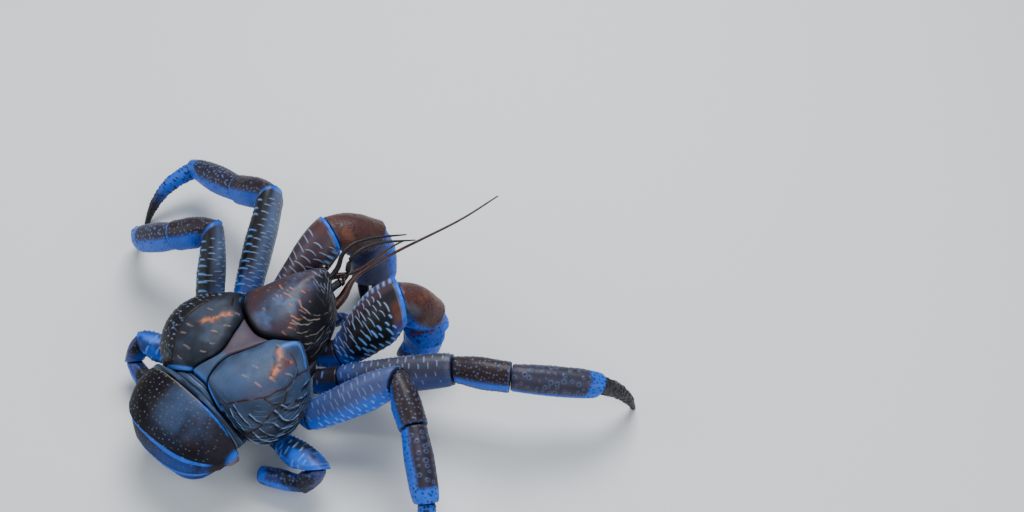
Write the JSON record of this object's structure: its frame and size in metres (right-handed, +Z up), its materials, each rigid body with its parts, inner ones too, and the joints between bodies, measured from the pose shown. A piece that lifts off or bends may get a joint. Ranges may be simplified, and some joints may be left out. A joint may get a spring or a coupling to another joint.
{
  "type": "coconut crab model",
  "caption": "Life-size coconut crab at rest on its walking legs, claws folded under the head and abdomen curled beneath.",
  "frame": {"origin": "middle of the footprint box at floor level, z = 0 where the leg tips and the tail fan rest", "axes": "+Z up, +Y the way the crab faces, +X to the crab's right"},
  "size_m": [0.2844, 0.2182, 0.067],
  "materials": {
    "shell_dark": "dark slate-blue shell, softly glossy",
    "shell_blue": "bright blue shell with dark specks, softly glossy",
    "shell_rust": "rusty brown shell with a blue edge",
    "limb_dark": "near-black shell with rows of pale blue strokes",
    "soft_skin": "leathery skin of the belly",
    "underside": "near-black underside",
    "eye": "very dark red, wet gloss",
    "feeler": "reddish brown feelers"
  },
  "bodies": {
    "root": {"carapace_heart": "shell_dark", "carapace_right": "shell_dark", "carapace_left": "shell_dark", "leg2_right_ischium": "limb_dark", "leg2_right_merus": "limb_dark", "leg2_right_carpus": "limb_dark", "leg2_right_propodus": "shell_blue", "leg2_right_dactylus": "shell_blue", "leg2_left_ischium": "limb_dark", "leg2_left_merus": "limb_dark", "leg2_left_carpus": "limb_dark", "leg2_left_propodus": "shell_blue", "leg2_left_dactylus": "shell_blue", "leg3_right_ischium": "limb_dark", "leg3_right_merus": "limb_dark", "leg3_right_carpus": "limb_dark", "leg3_right_propodus": "shell_blue", "leg3_right_dactylus": "shell_blue", "leg3_left_ischium": "limb_dark", "leg3_left_merus": "limb_dark", "leg3_left_carpus": "limb_dark", "leg3_left_propodus": "shell_blue", "leg3_left_dactylus": "shell_blue", "leg4_right_ischium": "limb_dark", "leg4_right_merus": "limb_dark", "leg4_right_carpus": "limb_dark", "leg4_right_propodus": "shell_blue", "leg4_left_ischium": "limb_dark", "leg4_left_merus": "limb_dark", "leg4_left_carpus": "limb_dark", "leg4_left_propodus": "shell_blue", "claw_right_ischium": "limb_dark", "claw_right_merus": "limb_dark", "claw_right_carpus": "shell_rust", "claw_left_ischium": "limb_dark", "claw_left_merus": "limb_dark", "claw_left_carpus": "shell_rust", "claw_right_palm": "shell_blue", "claw_right_finger": "shell_blue", "claw_left_palm": "shell_blue", "claw_left_finger": "shell_blue", "abdomen_2": "shell_dark", "abdomen_3": "shell_dark", "abdomen_4": "shell_dark", "tail_fan": "shell_dark", "abdomen_soft": "soft_skin", "abdomen_1": "shell_blue", "eyestalk_right": "limb_dark", "eye_right": "eye", "antennule_right": "underside", "antenna_right": "feeler", "mouth_leg_right": "limb_dark", "eyestalk_left": "limb_dark", "eye_left": "eye", "antennule_left": "underside", "antenna_left": "feeler", "mouth_leg_left": "limb_dark", "carapace_front": "shell_dark", "thorax": "underside"}
  },
  "joints": []
}
